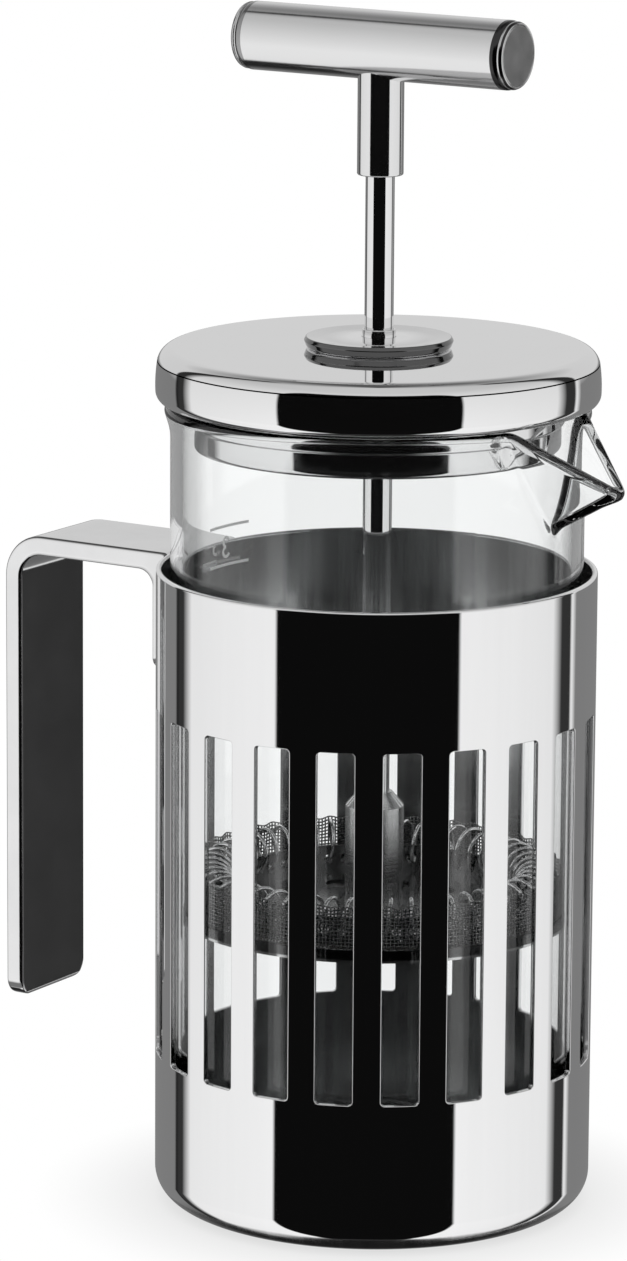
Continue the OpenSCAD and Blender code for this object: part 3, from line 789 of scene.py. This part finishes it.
bush = {"size": nodeSize("guide_bush"), "neck": 2.85, "bore": 2.5, "tail": 4.2, "shoulder": 5.5,
        "shoulderLow": 131.65, "shoulderHigh": 146.95}
rod = {"size": nodeSize("plunger_rod"), "stem": nodeSize("knob_stem"), "end": 0.5, "stemEdge": 0.35,
       "underBar": 0.72, "step": 0.05}
hub = {"size": nodeSize("hub_sleeve"), "coneTop": 2.95, "cone": 2.4}
bar = {"tube": nodeSize("crossbar_tube"), "wall": 0.8, "play": 0.02, "cap": 2.2, "plug": 4.0,
       "shoulder": 1.15, "shoulderRound": 0.9, "bead": (1.25, 1.5), "beadDepth": 0.28, "lip": (0.1, 1.55),
       "edge": 0.42, "chamfer": 0.35, "face": 5.05, "faceGroove": (0.12, 0.35), "faceDrop": 0.04}


def makeBush():
    size = bush
    low, high = size["size"][0][2], size["size"][1][2]
    turned("guideBush", [
        (size["bore"], low, 0.15), (size["tail"], low, 0.3), (size["tail"], size["shoulderLow"], 0),
        (size["shoulder"], size["shoulderLow"], 0.3), (size["shoulder"], size["shoulderHigh"], 0.3),
        (size["neck"], size["shoulderHigh"], 0), (size["neck"], high, 0.16), (size["bore"], high, 0.1)],
        polishedSteel("bushTurnedSteel", 0.8, 0.05, 0.06), "bush", ["guide_bush"], around=96)


def makeRod():
    size = rod
    radius, low, high = size["size"][1][0], size["size"][0][2], size["size"][1][2]
    turned("plungerRod", [(0, low, 0), (radius, low, size["end"]), (radius, high, size["end"]), (0, high, 0)],
           polishedSteel("rodPolishedSteel", 0.87, 0.02, 0.03), "plunger", ["plunger_rod"],
           closed=False, around=96)
    stemRadius, stemLow = size["stem"][1][0], size["stem"][0][2]
    axis = (bar["tube"][0][2] + bar["tube"][1][2]) / 2
    barRadius = bar["tube"][1][1]
    top = axis - barRadius * size["underBar"]
    inside = radius + size["step"]
    turned("knobStem", [
        (inside, stemLow, 0), (stemRadius, stemLow, size["stemEdge"]), (stemRadius, top, 0),
        (inside, top, 0)],
        polishedSteel("stemPolishedSteel", 0.82, 0.07, 0.05), "plunger", ["knob_stem"],
        around=128)


def makeBar():
    # The crossbar and its end caps lie along X, each turned about the bar's axis.
    size = bar
    radius = size["tube"][1][1]
    axis = (size["tube"][0][2] + size["tube"][1][2]) / 2
    start, end = size["tube"][0][0], size["tube"][1][0]
    steel = polishedSteel("barSatinSteel", 0.8, 0.10, 0.10, (0.03, 1, 1), 0.5)
    turned("crossbarTube", [(radius - size["wall"], start, 0), (radius, start, 0), (radius, end, 0),
                            (radius - size["wall"], end, 0)],
           steel, "plunger", ["crossbar_tube"], around=192, axisHeight=axis)
    bore = radius - size["wall"] - size["play"]
    beadFrom, beadTo = size["bead"]
    sunk = radius - size["beadDepth"]
    lipIn, lipOut = size["lip"]
    outside, face = end + size["cap"], size["face"]
    grooveWidth, grooveDepth = size["faceGroove"]
    flat = outside - size["faceDrop"]
    # from the plug out to the rounded edge, the bright bead, the groove and the flat face
    shape = [(0, end - size["plug"], 0), (bore, end - size["plug"], 0.3), (bore, end, 0), (radius, end, 0),
             (radius, end + size["shoulder"], size["shoulderRound"]), (sunk, end + beadFrom, 0),
             (sunk, end + beadTo, 0), (radius - lipIn, end + lipOut, 0.1),
             (radius - size["chamfer"], outside, size["edge"]), (face + size["play"], outside, 0.1),
             (face, outside - grooveDepth, 0), (face - grooveWidth, flat, 0.1), (0, flat, 0)]
    turned("crossbarCapFront", shape, capSteel("capFrontSteel", axis, end, 0.92), "plunger",
           ["crossbar_cap_front"], closed=False, around=160, axisHeight=axis)
    mirrored = [(r, -x, rounding) for r, x, rounding in shape][::-1]
    turned("crossbarCapRear", mirrored, capSteel("capRearSteel", axis, end, 0.5), "plunger",
           ["crossbar_cap_rear"], closed=False, around=160, axisHeight=axis)


def makeHub():
    size = hub
    radius, low, high = size["size"][1][0], size["size"][0][2], size["size"][1][2]
    turned("hubSleeve", [
        (rod["size"][1][0], low, 0), (radius, low, 0.3), (radius, high - size["cone"], 0.4),
        (size["coneTop"], high, 0.25), (rod["size"][1][0], high, 0)],
        turnedSteel("hubTurnedSteel", 0.95, 0.05, 7000, 0.03), "plunger", ["hub_sleeve"],
        around=128)


makeBush()
makeRod()
makeBar()
makeHub()
print("plunger made")


coil = {"size": nodeSize("coil_spring"), "ring": 27.8, "turn": 3.65, "wire": 0.7, "turns": 53,
        "stepsPerTurn": 26, "sides": 8, "start": math.radians(230.2)}
screen = {"size": nodeSize("mesh_screen"), "sheet": 0.14, "corner": 1.2, "pleat": 0.28, "crest": 0.35,
          "pitch": 0.62, "wire": 0.25}


def makeCoil():
    # A wire ring wound into a long spring that lies in a circle: on turn angle a, the wire is at
    # ring + turn cos(a) from the axis and turn sin(a) over the ring's height, while the ring goes round once.
    size = coil
    count = size["turns"] * size["stepsPerTurn"]
    angle = np.arange(count) / size["stepsPerTurn"] * fullTurn + size["start"]
    place = (angle - size["start"]) / size["turns"] + size["start"] / size["turns"]
    middle = (size["size"][0][2] + size["size"][1][2]) / 2
    radial = np.stack([np.cos(place), np.sin(place), np.zeros(count)], -1)
    up = np.array([0, 0, 1.0])
    outwards = np.cos(angle)[:, None] * radial + np.sin(angle)[:, None] * up
    path = radial * size["ring"] + up * middle + outwards * size["turn"]
    way = np.roll(path, -1, 0) - np.roll(path, 1, 0)
    way /= np.linalg.norm(way, axis=1)[:, None]
    across = np.cross(way, outwards)
    turn = np.arange(size["sides"]) / size["sides"] * fullTurn
    normals = np.cos(turn)[None, :, None] * outwards[:, None] + np.sin(turn)[None, :, None] * across[:, None]
    points = path[:, None] + size["wire"] / 2 * normals
    quads = gridQuads(count, size["sides"], True, True)
    addPiece("coilSpring", points * mm, quads, polishedSteel("coilWireSteel", 0.95, 0.06, 0.06),
             "plunger", ["coil_spring"], normals)


def makeScreen():
    # A thin dish of wire cloth. Its wall swells round each turn of the coil, and its edge rises there.
    size = screen
    radius, low, high = size["size"][1][0], size["size"][0][2], size["size"][1][2]
    columns = coil["turns"] * 12
    turn = np.linspace(0, fullTurn, columns + 1)
    pleat = 0.5 - 0.5 * np.cos(turn * coil["turns"])
    bore = rod["size"][1][0] + 0.1
    profile, normal = outline([(bore, low, 0), (radius, low, size["corner"]), (radius, high, 0)], False, 10)
    rise = np.linspace(profile[-2, 1], high, 14)[1:]
    profile = np.concatenate([profile[:-1], np.stack([np.full(13, radius), rise], -1)])
    normal = np.concatenate([normal[:-1], np.repeat([[1.0, 0]], 13, 0)])
    wall = ease((profile[:, 1] - low - size["corner"]) / (high - low - size["corner"]))[:, None]
    sheetRadius = profile[:, :1] - size["pleat"] * wall * pleat
    sheetHeight = profile[:, 1:] - size["crest"] * wall ** 2 * pleat
    cells = round(fullTurn * radius / size["pitch"]) * size["pitch"]
    flatWall = np.stack(np.broadcast_arrays(turn[None] / fullTurn * cells, profile[:, 1:]), -1)
    swing = np.stack([np.cos(turn), np.sin(turn)], -1)
    flatFloor = profile[:, :1, None] * swing[None]
    onFloor = (profile[:, 1] < low + size["corner"] / 2)[:, None, None]
    flat = np.where(onFloor, flatFloor, flatWall)

    def shell(inset):
        r = sheetRadius - inset * np.abs(normal[:, :1])
        z = sheetHeight + inset * (normal[:, 1:] < -0.01) * np.abs(normal[:, 1:])
        return np.concatenate([r[..., None] * swing, np.broadcast_to(z[..., None], r.shape + (1,))], -1)

    points = np.concatenate([shell(0), shell(size["sheet"])[::-1]])
    flat = np.concatenate([flat, flat[::-1]])
    quads = gridQuads(len(points), columns + 1, True, False)
    addPiece("meshScreen", points * mm, quads, wireCloth(size["pitch"], size["wire"]), "plunger",
             ["mesh_screen"], None, flat)


makeCoil()
makeScreen()
print("filter made")


def finishNodes():
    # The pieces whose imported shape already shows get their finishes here.
    finishes = {"spring_plate": polishedSteel("springPlateSteel", 0.3, 0.16, 0.1),
                "lower_plate": plateSteel(nodeSize("lower_plate")[0][2]),
                "lock_washer": turnedSteel("washerSteel", 0.6, 0.25),
                "clamp_nut": turnedSteel("nutSteel", 0.65, 0.2),
                "bush_retainer": turnedSteel("retainerSteel", 0.6, 0.22)}
    for node, finish in finishes.items():
        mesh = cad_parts[node].data
        mesh.materials.clear()
        mesh.materials.append(finish)


finishNodes()


studio = {"cameraDistance": 1.0337, "cameraHeight": 0.3201, "cameraTurn": math.radians(31.5),
          "pitch": math.radians(12.07), "yaw": math.radians(0.59), "roll": math.radians(0.38),
          "lens": 177.9, "floor": 40.0, "floorDrop": 0.0001,
          "panel": (-53.0, 44.0, -70.0, 30.0, 16.0, 30.0), "leftGap": (-128.0, -116.0),
          "rightGap": (109.0, 122.0), "gapBlack": 0.96, "panelBlack": 0.996, "tentOverhead": 0.62,
          "roomFrom": 126.0, "roomLow": 0.22, "roomHigh": 0.68, "roomOverhead": 0.10, "dark": 0.02,
          "footHeight": -68.0, "glassShare": 0.75, "glassLight": 0.95}


def makeFloor():
    # Bright white, with a painted contact shadow where the cage stands.
    size = studio["floor"] / 2
    mesh = bpy.data.meshes.new("studioFloor")
    low = -studio["floorDrop"]
    mesh.from_pydata([(-size, -size, low), (size, -size, low), (size, size, low), (-size, size, low)], [],
                     [(0, 1, 2, 3)])
    finish = Finish("studioFloor")
    # painted shadow: ambient occlusion darkens the floor's glow round the cage's foot
    openness = finish.node("ShaderNodeAmbientOcclusion", {"samples": 16}, {"Distance": 0.022}, out="AO")
    glow = openness.math("POWER", 1.5).mixed(0.72, 1.0)
    light = finish.node("ShaderNodeEmission", inputs={"Color": finish.tint(glow, (0, 0, 0), (1, 1, 1)),
                                                      "Strength": 1.0})
    finish.node("ShaderNodeOutputMaterial", inputs={"Surface": light})
    mesh.materials.append(finish.owner)
    floor = bpy.data.objects.new("studioFloor", mesh)
    bpy.context.scene.collection.objects.link(floor)
    floor.visible_glossy = False
    floor.visible_transmission = False
    floor.visible_diffuse = False


def makeStudioLight():
    # A white tent round the object with a black panel in front, dark gaps at both sides and a grey room
    # behind. What is seen past the object, or through its glass, is plain white.
    world = Finish("studioTent", world=True)
    x, y, z = world.parts(world.node("ShaderNodeTexCoord", out="Generated"))
    turn = studio["cameraTurn"]
    towards = x * math.sin(turn) - y * math.cos(turn)
    sideways = x * math.cos(turn) + y * math.sin(turn)
    bearing = sideways.math("ARCTAN2", towards) * (180 / math.pi)
    height = z.math("ARCSINE") * (180 / math.pi)
    # the panel is a rounded rectangle of bearing and height
    left, right, low, high, roundSide, roundUp = studio["panel"]
    overSide = (abs(bearing - (left + right) / 2) - ((right - left) / 2 - roundSide)).math("MAXIMUM", 0)
    overTop = (abs(height - (low + high) / 2) - ((high - low) / 2 - roundUp)).math("MAXIMUM", 0)
    overSide, overTop = overSide / roundSide, overTop / roundUp
    panel = 1 - (overSide * overSide + overTop * overTop).math("SQRT").above(1, 0.1)
    # the tent is brightest low down and greyer overhead and towards its edges
    white = height.above(14, 70).mixed(1.0, studio["tentOverhead"])
    white = white * (abs(bearing + 5) / 100).math("POWER", 2).mixed(1.02, 0.93)
    leftGap = bearing.above(studio["leftGap"][0], 2) * (1 - bearing.above(studio["leftGap"][1], 8))
    rightGap = bearing.above(studio["rightGap"][0], 8) * (1 - bearing.above(studio["rightGap"][1], 2))
    gaps = (leftGap + rightGap) * height.within(-80, 62, 4)
    behind = (abs(bearing) - studio["roomFrom"]).math("DIVIDE", 4 + height.math("MAXIMUM", 0) * 0.9) + 0.5
    room = height.above(-2, 4).mixed(studio["roomLow"], studio["roomHigh"])
    room = height.above(44, 34).mixed(room, studio["roomOverhead"])
    room = height.above(-40, 20).mixed(studio["dark"], room)
    light = behind.clamped().mixed(white, room)
    light = light * (1 - panel * studio["panelBlack"]) * (1 - gaps * studio["gapBlack"])
    light = height.above(studio["footHeight"], 5).mixed(studio["dark"], light)
    # light led along inside the glass, after two bounces or more, is paler than a plain reflection
    bounces = world.node("ShaderNodeLightPath", out="Glossy Depth")
    through = world.node("ShaderNodeLightPath", out="Transmission Depth")
    inGlass = through.within(0.5, 2.5, 0.1) * bounces.above(1.5, 0.1)
    light = (inGlass * studio["glassShare"]).mixed(light, studio["glassLight"])
    colour = world.tint(bounces.above(0.5, 0.1).mixed(1.0, light), (0, 0, 0), (1, 1, 1))
    sky = world.node("ShaderNodeBackground", inputs={"Color": colour, "Strength": 1.0})
    world.node("ShaderNodeOutputWorld", inputs={"Surface": sky})
    bpy.context.scene.world = world.owner


def makeCamera():
    camera = bpy.data.objects.new("studioCamera", bpy.data.cameras.new("studioCamera"))
    camera.data.lens = studio["lens"]
    camera.data.sensor_width = 36
    camera.data.clip_end = 100
    turn = studio["cameraTurn"]
    place = (studio["cameraDistance"] * math.sin(turn), -studio["cameraDistance"] * math.cos(turn),
             studio["cameraHeight"])
    stand = Matrix.Translation(place) @ Matrix.Rotation(turn + studio["yaw"], 4, "Z")
    camera.matrix_world = stand @ Matrix.Rotation(math.pi / 2 - studio["pitch"], 4, "X") @ Matrix.Rotation(
        studio["roll"], 4, "Z")
    bpy.context.scene.collection.objects.link(camera)
    bpy.context.scene.camera = camera
    scene = bpy.context.scene
    scene.view_settings.view_transform = "Standard"
    scene.cycles.max_bounces = 24
    scene.cycles.transmission_bounces = 20
    scene.cycles.transparent_max_bounces = 32
    scene.cycles.glossy_bounces = 10
    scene.cycles.diffuse_bounces = 3


makeFloor()
makeStudioLight()
makeCamera()
print("studio made")
